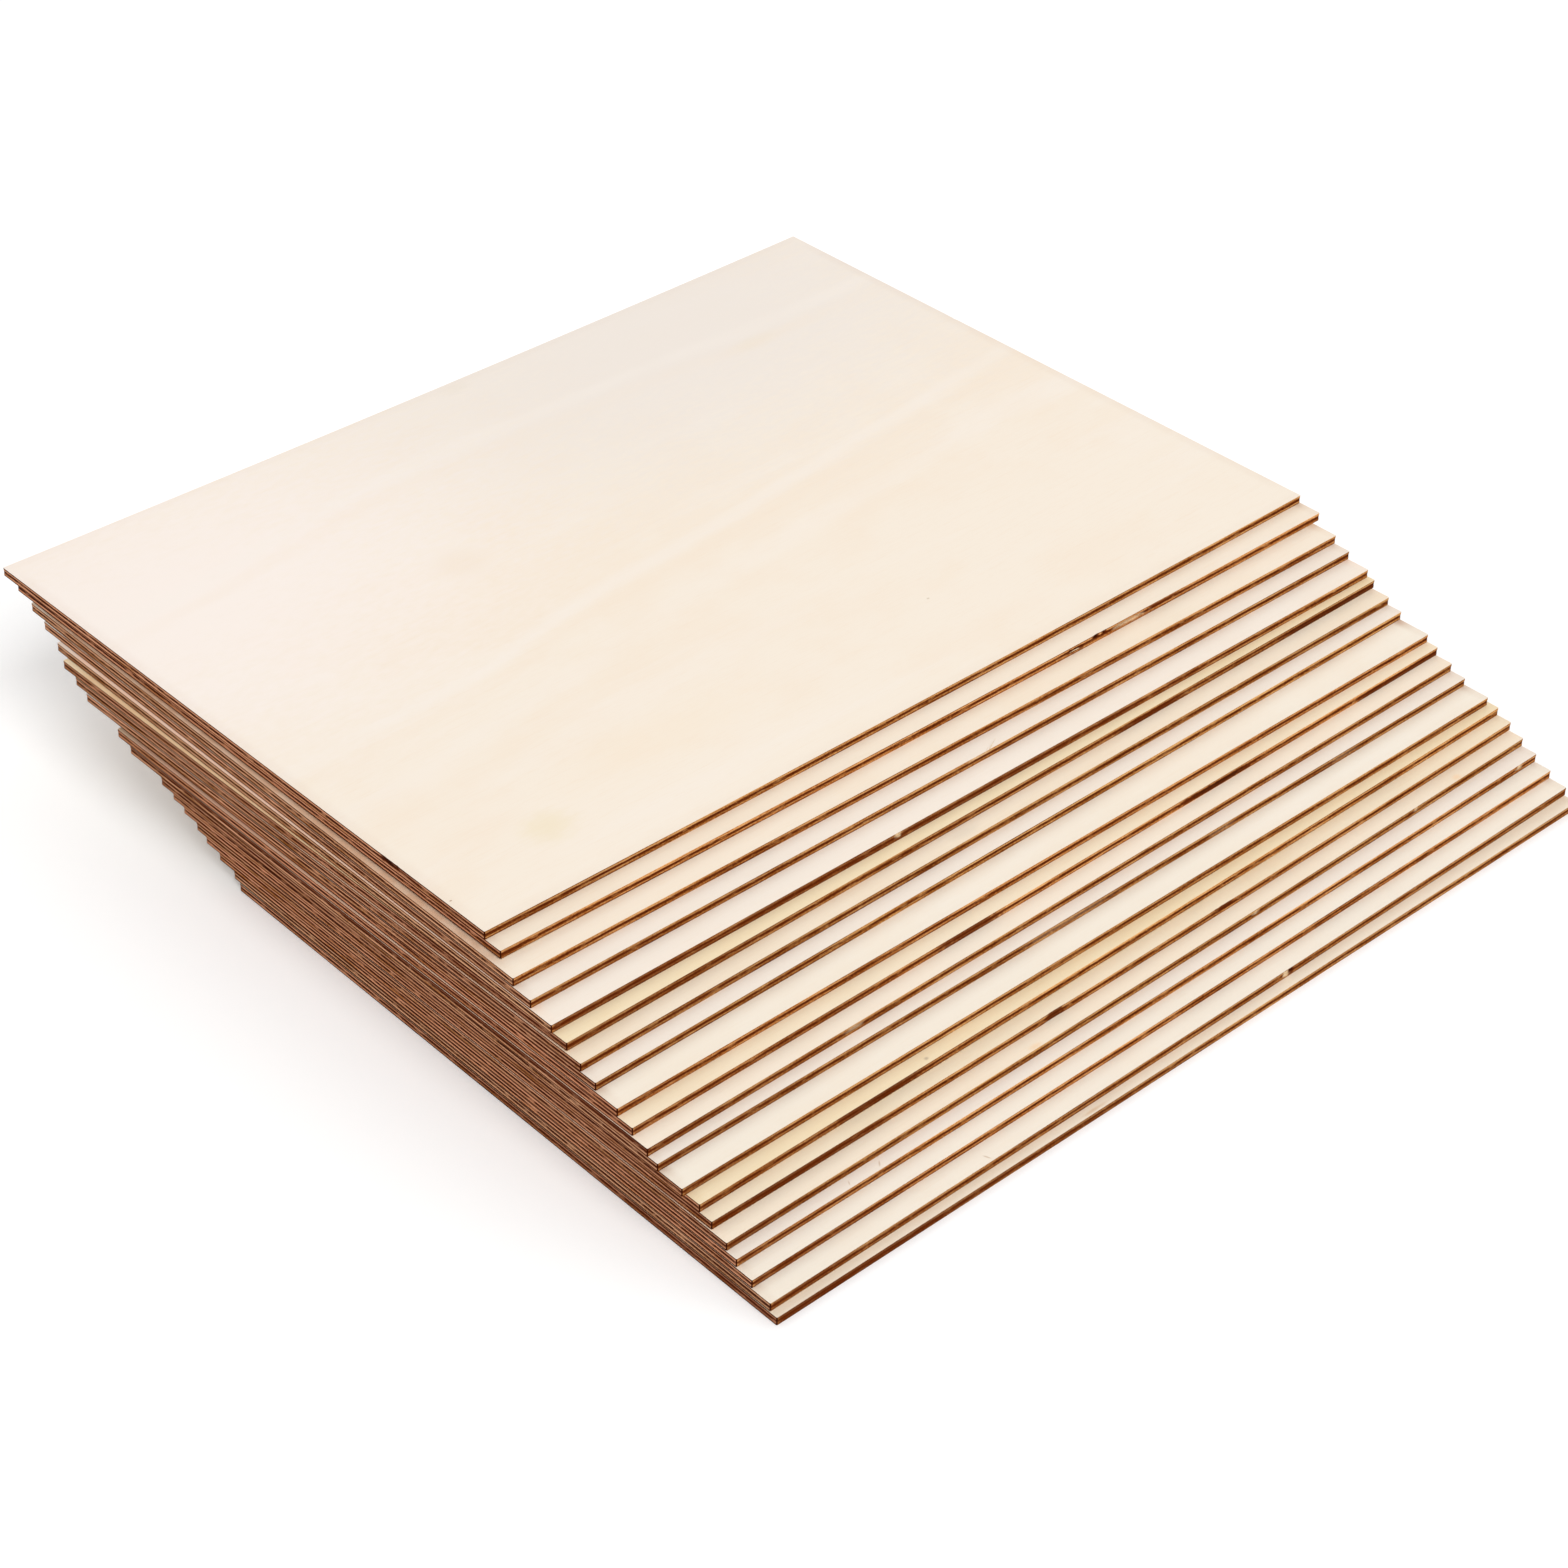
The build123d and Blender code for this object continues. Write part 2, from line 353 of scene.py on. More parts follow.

# From the top sheet down: skew in degrees, rake and bow in millimetres, as the solids have them,
# then the face's tint, how much the cut edge is burnt, and its marks. A mark runs along the edge
# from one distance to another in millimetres, and is on the front side where no other is named.
# Its depth is in shares of the thickness. Spots are on the upper face. A sliver is a fibre that
# stands off the edge. endLight is how light the outer plies are on the short sides. smoke and
# rimShadingColor are how strong the painted shade and warm bounce light on the face along the short
# sides are, and their colour.
sheets = [
    {"skew": 0.0, "rake": 0.0, "bow": 0.9, "tint": "ivory", "burn": 0.0, "rimShading": 0.08,
     "marks": [
         {"side": "left", "along": (34, 40), "depth": (0.0, 0.6), "scorch": 1.0, "chip": 0.1},
         {"side": "left", "along": (27, 33), "depth": (0.1, 0.5), "scorch": 0.25},
     ],
     "spots": [
         # painted shade: the back and right of the upper face greyer, where less light falls
         {"at": (225, 190), "reach": (190, 110), "amount": 0.8, "color": (0.86, 0.79, 0.73, 1)},
         # painted light: paler and pinker towards the left, partly the sheet's own pinker tone
         {"at": (20, 165), "reach": (150, 110), "amount": 0.75, "color": (0.97, 0.88, 0.83, 1)},
         {"at": (38, 22), "reach": (11, 9), "amount": 0.6, "color": (0.88, 0.76, 0.54, 1)},
         {"at": (97, 130), "reach": (12, 11), "amount": 0.4, "color": (0.90, 0.76, 0.61, 1)},
         {"at": (85, 32), "reach": (50, 14), "amount": 0.3, "color": (0.93, 0.78, 0.60, 1)},
         {"at": (241, 168), "reach": (14, 5), "amount": 0.35, "color": (0.86, 0.76, 0.62, 1)},
         {"at": (155, 206), "reach": (8, 4), "amount": 0.35, "color": (0.84, 0.75, 0.63, 1)},
         {"at": (1.4, 14.5), "reach": (0.6, 0.35), "amount": 0.9, "ragged": 0.3,
          "color": (0.35, 0.2, 0.1, 1)},
         {"at": (181, 33), "reach": (0.7, 0.5), "amount": 0.5, "ragged": 0.3,
          "color": (0.5, 0.36, 0.2, 1)},
     ],
     "streaks": [
         # heights across the sheet at even steps along it, half width, amount
         {"through": (81, 83, 85, 92, 96, 99, 103, 106, 110, 115), "half": 4.5, "amount": 0.4},
         {"through": (165, 168, 173, 179, 180, 179, 178, 176, 175, 174), "half": 5.0, "amount": 0.3},
         {"through": (56, 60, 66, 71, 77, 80, 83, 86, 88, 90), "half": 6.5, "amount": 0.24},
     ],
     "slivers": [{"side": "left", "at": 177.5, "depth": 0.12, "to": (-0.9, -0.9, -0.1), "width": 0.1}]},
    {"skew": -0.3, "rake": -0.7, "bow": 0.8, "tint": "cream", "burn": 0.0,
     "marks": [
         {"along": (194, 200), "depth": (0.3, 0.8), "scorch": 0.8, "chip": 0.2},
         {"along": (204, 206), "depth": (0.0, 0.6), "scorch": 1.2, "chip": 0.35},
         {"along": (207.5, 209), "depth": (0.0, 0.5), "scorch": 1.2, "chip": 0.3},
         {"along": (213, 223), "depth": (0.3, 0.75), "bare": 0.55, "chip": 0.3},
         {"along": (225, 238), "depth": (0.1, 0.6), "scorch": 0.6},
         {"along": (238, 262), "depth": (0.0, 0.4), "scorch": 0.3},
     ],
     "slivers": [{"at": 198.5, "depth": 0.6, "to": (-4.4, -0.5, 0.45), "width": 0.5}]},
    {"skew": -0.5, "rake": 0.2, "bow": 0.4, "tint": "cream", "burn": -0.08, "endLight": 1.2,
     "rimShadingColor": (0.74, 0.46, 0.29, 1)},
    {"skew": -0.3, "rake": 0.6, "bow": 0.2, "tint": "lilac", "burn": 0.12, "endLight": 1.1,
     "marks": [{"along": (146, 153), "depth": (0.0, 0.3), "bare": 0.5},
               {"along": (154, 200), "depth": (0.2, 0.9), "scorch": 0.3}],
     "slivers": [{"at": 153.0, "depth": 0.03, "to": (2.8, 0.6, 2.0), "width": 0.22},
                 {"at": 152.0, "depth": 0.03, "to": (0.3, -0.3, 1.6), "width": 0.16}]},
    {"skew": -0.2, "rake": 0.0, "bow": 0.2, "tint": "lilac", "burn": 0.2, "endLight": 1.25,
     "rimShadingColor": (1.0, 0.68, 0.5, 1),
     "marks": [{"side": "left", "along": (-9, 219), "scorch": -0.3},
               {"along": (60, 225), "scorch": 0.15},
               {"along": (115, 200), "scorch": 0.15},
               {"along": (112.4, 113.6), "depth": (0.0, 0.6), "bare": 0.9}]},
    {"skew": 0.3, "rake": -0.3, "bow": 0.1, "tint": "yellow", "burn": 0.1, "endLight": 0.9,
     "rimShadingColor": (0.85, 0.58, 0.33, 1),
     "marks": [{"along": (190, 216), "depth": (0.2, 1.0), "scorch": 0.5},
               # painted shadow: the lower part of the edge darkened at the right end, where the lifted
               # corner leaves a shaded gap
               {"along": (258, 300), "depth": (0.28, 1.5), "scorch": 0.75}]},
    {"skew": 0.2, "rake": -0.3, "bow": -0.2, "tint": "straw", "burn": 0.0, "endLight": 0.85,
     "rimShadingColor": (0.9, 0.62, 0.45, 1),
     "spots": [{"at": (130, 2.6), "reach": (7, 2.4), "amount": 0.35, "color": (0.72, 0.64, 0.52, 1)}]},
    {"skew": 0.3, "rake": -0.3, "bow": -0.2, "tint": "lilac", "burn": 0.05},
    {"skew": -0.1, "rake": 0.3, "bow": 0.0, "tint": "white", "burn": 0.0},
    {"skew": 0.2, "rake": 0.1, "bow": 0.1, "tint": "buff", "burn": 0.1,
     "rimShadingColor": (1.0, 0.68, 0.5, 1),
     "marks": [{"along": (102, 122), "scorch": 0.45},
               {"along": (192, 217), "depth": (0.2, 0.85), "scorch": 0.9},
               # painted shadow: the lower part of the edge darkened at the right end, where the lifted
               # corner leaves a shaded gap
               {"along": (262, 300), "depth": (0.28, 1.5), "scorch": 0.75}]},
    {"skew": 0.2, "rake": 0.3, "bow": 0.1, "tint": "cream", "burn": 0.06, "endLight": 1.1,
     "rimShadingColor": (0.9, 0.62, 0.45, 1),
     "marks": [{"side": "left", "along": (-9, 219), "depth": (-0.5, 0.4), "scorch": 0.5},
               {"along": (64, 69), "depth": (0.1, 0.6), "bare": 0.4},
               {"along": (168, 174), "depth": (0.2, 0.6), "scorch": 0.8}]},
    {"skew": -0.1, "rake": 0.8, "bow": 0.1, "tint": "lilac", "burn": 0.04, "endLight": 1.15,
     "marks": [{"along": (124, 152), "depth": (0.1, 0.7), "bare": 0.12},
               {"along": (191, 199), "depth": (0.1, 0.8), "bare": 0.12},
               {"along": (239, 249), "depth": (0.1, 0.8), "bare": 0.12}]},
    {"skew": -0.1, "rake": 0.3, "bow": 0.2, "tint": "white", "burn": 0.02, "endLight": 0.8},
    {"skew": 0.2, "rake": 0.4, "bow": 0.4, "tint": "yellow", "burn": 0.08,
     "marks": [{"along": (46, 70), "scorch": 0.35},
               {"along": (138, 162), "depth": (0.3, 1.0), "scorch": 0.35}],
     "spots": [{"at": (75, 1.6), "reach": (1.0, 0.8), "amount": 0.6, "color": (0.4, 0.33, 0.25, 1)}]},
    {"skew": 0.1, "rake": 0.3, "bow": 0.9, "tint": "buff", "burn": 0.04,
     "marks": [{"along": (12, 56), "scorch": 0.25},
               {"along": (111, 117), "scorch": 0.6, "chip": 0.12},
               {"along": (173, 181), "depth": (0.0, 0.7), "scorch": 0.8, "chip": 0.12}]},
    {"skew": 0.2, "rake": 1.1, "bow": 0.7, "tint": "straw", "burn": 0.02, "endLight": 0.95,
     "rimShadingColor": (1.0, 0.68, 0.5, 1),
     "marks": [{"along": (184, 185.4), "depth": (0.1, 0.6), "bare": 0.7},
               {"along": (249.4, 250.6), "depth": (0.0, 0.5), "bare": 0.6},
               {"along": (246, 249), "depth": (0.2, 0.7), "scorch": 0.7}],
     "spots": [{"at": (103, 0.9), "reach": (3.2, 1.2), "amount": 0.5, "color": (0.93, 0.62, 0.34, 1)},
               {"at": (269, 1.2), "reach": (2.4, 1.6), "amount": 0.5, "color": (0.93, 0.62, 0.34, 1)}]},
    {"skew": -0.1, "rake": 0.4, "bow": 0.6, "tint": "lilac", "burn": 0.0,
     "marks": [{"along": (177, 180), "depth": (0.3, 0.8), "scorch": 0.8},
               {"along": (288.4, 290.2), "depth": (0.0, 0.6), "bare": 0.8}],
     "spots": [{"at": (37, 1.6), "reach": (0.3, 1.3), "turn": 0.5, "amount": 0.6,
                "color": (0.6, 0.45, 0.3, 1)},
               {"at": (47, 1.7), "reach": (0.35, 1.5), "turn": 0.7, "amount": 0.7,
                "color": (0.55, 0.4, 0.27, 1)}]},
    {"skew": -0.1, "rake": 0.7, "bow": 0.4, "tint": "white", "burn": -0.02, "endLight": 1.1,
     "marks": [{"along": (150, 297), "scorch": -0.15},
               {"along": (195, 236), "depth": (0.0, 0.13), "scorch": 1.2}]},
    {"skew": 0.0, "rake": 1.2, "bow": 0.4, "tint": "white", "burn": 0.05, "endLight": 1.2,
     "marks": [{"along": (178.6, 180.2), "depth": (0.1, 0.8), "bare": 1.0, "chip": 0.1},
               {"along": (180.6, 182.4), "depth": (0.1, 0.9), "scorch": 1.1, "chip": 0.2}],
     "spots": [{"at": (72, 1.8), "reach": (0.35, 1.6), "turn": -0.4, "amount": 0.7,
                "color": (0.55, 0.4, 0.27, 1)}]},
    {"skew": -0.3, "rake": 0.1, "bow": 0.0, "tint": "straw", "burn": 0.22,
     "spots": [{"at": (106, 1.0), "reach": (6, 0.8), "amount": 0.6, "color": (0.7, 0.45, 0.25, 1)}]},
]


def edgePoints(rake, radius):
    # (x, y, outward x, outward y, side) round the sheet
    length, width = sheetValues["length"], sheetValues["width"]
    steps = sheetValues["cornerSteps"]
    points = []
    corners = [(length - radius, radius, -90, "front"), (length - radius, width - radius, 0, "right"),
               (radius, width - radius, 90, "back"), (radius, radius, 180, "left")]
    for turn, (cx, cy, start, side) in enumerate(corners):
        before = corners[turn - 1]
        out = Vector((math.cos(math.radians(start)), math.sin(math.radians(start))))
        fromPoint = Vector(before[:2]) + radius * out
        toPoint = Vector((cx, cy)) + radius * out
        count = max(1, round((toPoint - fromPoint).length / sheetValues["pointEvery"]))
        for step in range(1, count):
            at = fromPoint.lerp(toPoint, step / count)
            points.append((at.x, at.y, out.x, out.y, side))
        for step in range(steps + 1):
            angle = math.radians(start + 90 * step / steps)
            points.append((cx + radius * math.cos(angle), cy + radius * math.sin(angle),
                           math.cos(angle), math.sin(angle), side))
    return [(x + rake * y / width, y, outX, outY, side) for x, y, outX, outY, side in points]


def placeOf(number):
    # where the CAD's sheet lies, from its box: the front left corner on the upper face, and the turn
    low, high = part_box(f"sheet_{number:02d}")
    values = sheets[number - 1]
    skew = math.radians(values["skew"])
    turned = [(x * math.cos(skew) - y * math.sin(skew), x * math.sin(skew) + y * math.cos(skew))
              for x, y, *rest in edgePoints(values["rake"], sheetValues["solidRadius"])]
    x = low.x - min(point[0] for point in turned) * mm
    y = low.y - min(point[1] for point in turned) * mm
    z = high.z - max(values["bow"], 0.0) * mm
    return Matrix.Translation((x, y, z)) @ Matrix.Rotation(skew, 4, "Z")


def within(value, low, high, fade):
    # 1 well inside a range and 0 outside it
    return max(0.0, min(1.0, (value - low) / fade + 0.5, (high - value) / fade + 0.5))


# burns and small chips on the two sides that the sheets' own marks don't describe
strayValues = {
    "sides": {"right": 210, "back": 297},    # with their lengths in millimetres
    "burns": 3,
    "from": 5,
    "burnRoom": 40,                          # kept free at the end of a side, for the mark to run
    "chipRoom": 10,
    "burnLength": (6, 34),
    "burnTop": (0, 0.3),
    "scorch": (0.2, 0.7),
    "chipLength": (1.2, 5),
    "chipTop": (0, 0.4),
    "chipHeight": 0.4,
    "bare": 0.7,
    "chip": 0.15,
}


def strayMarks(number):
    dice = random.Random(400 + number)
    marks = []
    for side, reach in strayValues["sides"].items():
        for turn in range(strayValues["burns"]):
            start = dice.uniform(strayValues["from"], reach - strayValues["burnRoom"])
            end = start + dice.uniform(*strayValues["burnLength"])
            top = dice.uniform(*strayValues["burnTop"])
            marks.append({"side": side, "along": (start, end), "depth": (top, 1.0),
                          "scorch": dice.uniform(*strayValues["scorch"])})
        start = dice.uniform(strayValues["from"], reach - strayValues["chipRoom"])
        top = dice.uniform(*strayValues["chipTop"])
        end = start + dice.uniform(*strayValues["chipLength"])
        marks.append({"side": side, "along": (start, end), "depth": (top, top + strayValues["chipHeight"]),
                      "bare": strayValues["bare"], "chip": strayValues["chip"]})
    return marks


markValues = {
    "depth": (-0.5, 1.5),                 # of a mark that covers the whole height of the edge
    "longestFade": 7.0,                   # of a mark's ends, in millimetres
    "shortestFade": 0.3,
    "fadeShare": 0.4,                     # how much of its length a mark fades over
    "depthFade": 0.12,
    "ragged": 0.08,
}


def paintAt(marks, side, along, share, grain):
    # scorch, bare wood and depth of chip at one point of the edge
    scorch = bare = chip = 0.0
    for mark in marks:
        if mark.get("side", "front") != side:
            continue
        start, end = mark["along"]
        top, bottom = mark.get("depth", markValues["depth"])
        fade = markValues["fadeShare"] * (end - start) + markValues["shortestFade"]
        fade = min(markValues["longestFade"], fade)
        amount = within(along + grain * fade, start, end, fade)
        amount *= within(share + markValues["ragged"] * grain, top, bottom, markValues["depthFade"])
        scorch += amount * mark.get("scorch", 0.0)
        bare = max(bare, amount * mark.get("bare", 0.0))
        chip = max(chip, amount * mark.get("chip", 0.0))
    return scorch, bare, chip


sliverValues = {
    # how far along the fibre, share of its width
    "profile": ((0.0, 0.7), (0.25, 1.0), (0.55, 0.75), (0.85, 0.35), (1.0, 0.08)),
    "inset": 0.1,                         # of the root from the edge
    "sides": 3,
    "twist": 40,                          # in degrees, from root to tip
    "bend": 0.12,
    "flatness": 0.6,
    "depth": 0.15,                        # painted, as on the edge
    "bareRoot": 0.5,
    "bare": 2.0,
}
edgeIndex = 1      # a sheet's second material is that of its cut edge


def addSliver(mesh, layers, origin, reach, width):
    # a torn fibre: a thin needle, bent a little towards its tip
    sides = sliverValues["sides"]
    axis = Vector(reach)
    across = axis.cross(Vector((0, 0, 1))).normalized()
    over = across.cross(axis).normalized()
    rings = []
    for share, size in sliverValues["profile"]:
        bend = sliverValues["bend"] * axis.length * share * (1 - share)
        middle = Vector(origin) + axis * share + over * bend
        ring = []
        for turn in range(sides):
            angle = math.radians(360 / sides * turn + sliverValues["twist"] * share)
            offset = across * math.cos(angle) + over * (sliverValues["flatness"] * math.sin(angle))
            vertex = mesh.verts.new((middle + offset * (size * width / 2)) * mm)
            vertex[layers["depth"]] = sliverValues["depth"]
            vertex[layers["bare"]] = sliverValues["bare" if share > 0.1 else "bareRoot"]
            ring.append(vertex)
        rings.append(ring)
    for lower, upper in zip(rings, rings[1:]):
        for turn in range(sides):
            after = (turn + 1) % sides
            face = mesh.faces.new((lower[turn], lower[after], upper[after], upper[turn]))
            face.material_index = edgeIndex
            face.smooth = True
    for ring in (list(reversed(rings[0])), rings[-1]):
        mesh.faces.new(ring).material_index = edgeIndex


def alongSide(ring, points, side):
    # a ring's vertices on the straight run of one long side
    return [vertex for vertex, point in zip(ring, points) if point[4] == side and abs(point[3]) > 0.999]


def capFace(mesh, ring, points, under):
    # front and back points face each other, so the sheet's face is a row of long narrow quads
    front = alongSide(ring, points, "front")
    back = alongSide(ring, points, "back")
    back.reverse()
    for a, b, c, d in zip(front, front[1:], back[1:], back):
        mesh.faces.new((d, c, b, a) if under else (a, b, c, d))
    order = {vertex: i for i, vertex in enumerate(ring)}
    rightEnd = [ring[i] for i in range(order[front[-1]], order[back[-1]] + 1)]
    leftEnd = [ring[i % len(ring)] for i in range(order[back[0]], order[front[0]] + len(ring) + 1)]
    for loop in (rightEnd, leftEnd):
        mesh.faces.new(list(reversed(loop)) if under else loop)


def noiseAt(values, x, y, share, number):
    scale, shift, change = values
    return noise.noise(Vector((x * scale, y * scale + shift * number, share * change)))


def sideScorch(side, along, number):
    # how much more than its marks say a side is burnt
    if side == "front":
        burn = sheetValues["frontBurn"]
        leftward = max(burn["least"], burn["start"] - along / burn["over"])
        return leftward * (burn["amount"] + burn["lower"] * number)
    if side == "left":
        burn = sheetValues["leftBurn"]
        return (burn["start"] - along / sheetValues["width"]) * burn["amount"]
    return 0.0


def buildSheet(number):
    values = sheets[number - 1]
    length, width, thick = (sheetValues[key] for key in ("length", "width", "thickness"))
    points = edgePoints(values["rake"], sheetValues["cornerRadius"])
    marks = values.get("marks", []) + strayMarks(number)
    mesh = bmesh.new()
    layers = {name: mesh.verts.layers.float.new(name) for name in ("depth", "short", "scorch", "bare")}

    def liftAt(x, y):
        return values["bow"] * (2 * (x - values["rake"] * y / width) / length - 1) ** 2

    rings = []
    for share, inset, uneven in sheetValues["edgeProfile"]:
        ring = []
        for x, y, outX, outY, side in points:
            fine = noiseAt(sheetValues["fineNoise"], x, y, share, number)
            slow = noiseAt(sheetValues["slowNoise"], x, y, share, number)
            along = x if side in ("front", "back") else y
            scorch, bare, chip = paintAt(marks, side, along, share, fine)
            pull = inset + uneven * (0.5 + 0.5 * fine + 0.5 * slow) + chip * (1 + fine)
            px, py = x - outX * pull, y - outY * pull
            onCorner = abs(outX * outY) > 0.05      # where the outward direction leans both ways
            scorch += sideScorch(side, along, number)
            vertex = mesh.verts.new((px * mm, py * mm, (liftAt(px, py) - share * thick) * mm))
            vertex[layers["depth"]] = share
            vertex[layers["short"]] = abs(outX)
            vertex[layers["scorch"]] = scorch + (sheetValues["cornerScorch"] if onCorner else 0.0)
            vertex[layers["bare"]] = bare
            ring.append(vertex)
        rings.append(ring)
    count = len(points)
    for upper, lower in zip(rings, rings[1:]):
        for at in range(count):
            after = (at + 1) % count
            face = mesh.faces.new((upper[at], lower[at], lower[after], upper[after]))
            face.material_index = edgeIndex
            face.smooth = True
    capFace(mesh, rings[0], points, False)
    capFace(mesh, rings[-1], points, True)
    mesh.normal_update()
    for edge in mesh.edges:
        if len(edge.link_faces) == 2 and edge.calc_face_angle(0) > sheetValues["sharpAngle"]:
            edge.smooth = False
    for sliver in values.get("slivers", ()):
        inset = sliverValues["inset"]
        x, y = (inset, sliver["at"]) if sliver.get("side") == "left" else (sliver["at"], inset)
        origin = (x, y, liftAt(x, y) - sliver["depth"] * thick)
        addSliver(mesh, layers, origin, sliver["to"], sliver["width"])
    data = bpy.data.meshes.new(f"sheet{number:02d}Mesh")
    mesh.to_mesh(data)
    mesh.free()
    piece = bpy.data.objects.new(f"plySheet{number:02d}", data)
    scene.collection.objects.link(piece)
    piece.matrix_world = placeOf(number)
    return piece


def sheetPosition(tree):
    # the sheet's own coordinates in millimetres
    place = addNode(tree, "ShaderNodeTexCoord").outputs["Object"]
    return vectorCalc(tree, "MULTIPLY", place, (1000, 1000, 1000))


def newMaterial(name):
    material = bpy.data.materials.new(name)
    material.use_nodes = True
    tree = material.node_tree
    tree.nodes.clear()
    shader = addNode(tree, "ShaderNodeBsdfPrincipled")
    output = addNode(tree, "ShaderNodeOutputMaterial")
    tree.links.new(shader.outputs[0], output.inputs[0])
    return material, tree, shader


def addBump(tree, shader, height, strength, distance):
    bump = addNode(tree, "ShaderNodeBump", {"Height": height, "Strength": strength, "Distance": distance})
    tree.links.new(bump.outputs[0], shader.inputs["Normal"])


def streakMiddle(tree, position, heights):
    # a curve through the streak's heights across the sheet, given along its length
    along = addNode(tree, "ShaderNodeSeparateXYZ", {0: position}).outputs[0]
    share = calc(tree, "DIVIDE", along, sheetValues["length"])
    node = addNode(tree, "ShaderNodeFloatCurve", {1: share})
    curve = node.mapping.curves[0]
    width = sheetValues["width"]
    curve.points[0].location = (0.0, heights[0] / width)
    curve.points[1].location = (1.0, heights[-1] / width)
    for step, height in enumerate(heights[1:-1], 1):
        curve.points.new(step / (len(heights) - 1), height / width)
    node.mapping.update()
    return calc(tree, "MULTIPLY", node.outputs[0], width)


faceValues = {
    "streaks": 0.25,
    "clouds": 0.35,
    "fibre": 0.15,
    "darkSide": 0.6,               # how strong a streak's darker side is beside its light one
    "ragged": 0.6,                 # of a spot that says nothing else
    # painted shade and warm bounce light on the face near its sides
    "rimShading": {"reach": 4.0, "long": 0.04, "short": 0.9, "color": (0.5, 0.27, 0.15, 1)},
    "specular": 0.25,
    "bump": 0.3,
    "bumpDistance": 0.02,          # in millimetres
}


def faceMaterial(number):
    values = sheets[number - 1]
    material, tree, shader = newMaterial(f"sandedFace{number:02d}")
    tint, pale, warm = tints[values["tint"]]
    position = sheetPosition(tree)
    veneer = placeGroup(tree, veneerGroup, {
        "Position": position, "Shift": (137.0 * number, 83.0 * number, 0), "Tint": tint,
        "Pale": pale, "Warm": warm, "Streaks": faceValues["streaks"], "Clouds": faceValues["clouds"],
        "Fibre": faceValues["fibre"]})
    color = veneer["Color"]
    for spot in values.get("spots", ()):
        mask = placeGroup(tree, spotGroup, {
            "Position": position, "Centre": (*spot["at"], 0), "Reach": (*spot["reach"], 1),
            "Turn": spot.get("turn", 0.0), "Ragged": spot.get("ragged", faceValues["ragged"]),
            "Amount": spot["amount"]})["Mask"]
        color = blendColors(tree, mask, color, spot["color"])
    for streak in values.get("streaks", ()):
        run = placeGroup(tree, streakGroup, {
            "Position": position, "Middle": streakMiddle(tree, position, streak["through"]),
            "Half": streak["half"], "Amount": streak["amount"]})
        color = blendColors(tree, run["Light"], color, pale)
        color = blendColors(tree, calc(tree, "MULTIPLY", run["Dark"], faceValues["darkSide"]), color, warm)
    # painted shade and warm bounce light along the face's sides, strongest on the short sides
    rimShading = faceValues["rimShading"]
    rim = placeGroup(tree, rimGroup, {
        "Position": position, "Size": (sheetValues["length"], sheetValues["width"], 0),
        "Reach": rimShading["reach"], "LongAmount": rimShading["long"],
        "ShortAmount": values.get("rimShading", rimShading["short"])})["Mask"]
    color = blendColors(tree, rim, color, values.get("rimShadingColor", rimShading["color"]))
    tree.links.new(color, shader.inputs["Base Color"])
    tree.links.new(veneer["Roughness"], shader.inputs["Roughness"])
    shader.inputs["Specular IOR Level"].default_value = faceValues["specular"]
    addBump(tree, shader, veneer["Height"], faceValues["bump"], faceValues["bumpDistance"] * mm)
    return material


edgeValues = {
    "light": (0.8, 1.08),          # the range that the sheets' outer plies are drawn from
    "warm": (0.92, 1.04),          # and that of their green and blue, so less is warmer
    "specular": 0.02,
    "bump": 0.5,
    "bumpDistance": 0.12,          # in millimetres
}


def shaded(color, light, warm):
    red, green, blue = (part * light for part in color[:3])
    return min(red, 1.0), min(warm * green, 1.0), min(warm * blue, 1.0), 1


def edgeMaterial(number):
    values = sheets[number - 1]
    material, tree, shader = newMaterial(f"burntEdge{number:02d}")
    painted = {name: addNode(tree, "ShaderNodeAttribute", attribute_name=name).outputs["Fac"]
               for name in ("depth", "short", "scorch", "bare")}
    dice = random.Random(60 + number)
    light = dice.uniform(*edgeValues["light"])
    warm = dice.uniform(*edgeValues["warm"])
    lights = {"Veneer": light, "Tan": light, "EndTan": values.get("endLight", 1.0)}
    shades = {name: shaded(burntColors[name], amount, warm) for name, amount in lights.items()}
    edge = placeGroup(tree, burntGroup, {
        **shades, "Position": sheetPosition(tree), "Shift": (71.0 * number, 29.0 * number, 0),
        "Depth": painted["depth"], "Short": painted["short"], "Bare": painted["bare"],
        "Scorch": calc(tree, "ADD", painted["scorch"], values["burn"])})
    tree.links.new(edge["Color"], shader.inputs["Base Color"])
    tree.links.new(edge["Roughness"], shader.inputs["Roughness"])
    shader.inputs["Specular IOR Level"].default_value = edgeValues["specular"]
    addBump(tree, shader, edge["Height"], edgeValues["bump"], edgeValues["bumpDistance"] * mm)
    return material


for number in range(1, len(sheets) + 1):
    piece = buildSheet(number)
    piece.data.materials.append(faceMaterial(number))
    piece.data.materials.append(edgeMaterial(number))
    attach(piece, "root")
    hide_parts(f"sheet_{number:02d}")
print("sheets built:", len(sheets))


# floor, light and camera

floorValues = {
    "half": 3.0,
    "color": (0.96, 0.96, 0.96, 1),
    "roughness": 0.9,
    # light added for the camera alone, more of it far off, where the lamps don't reach
    "lift": (0.14, 0.6),
    "liftFrom": (0.9, 2.4),        # distances in metres between which it grows
}


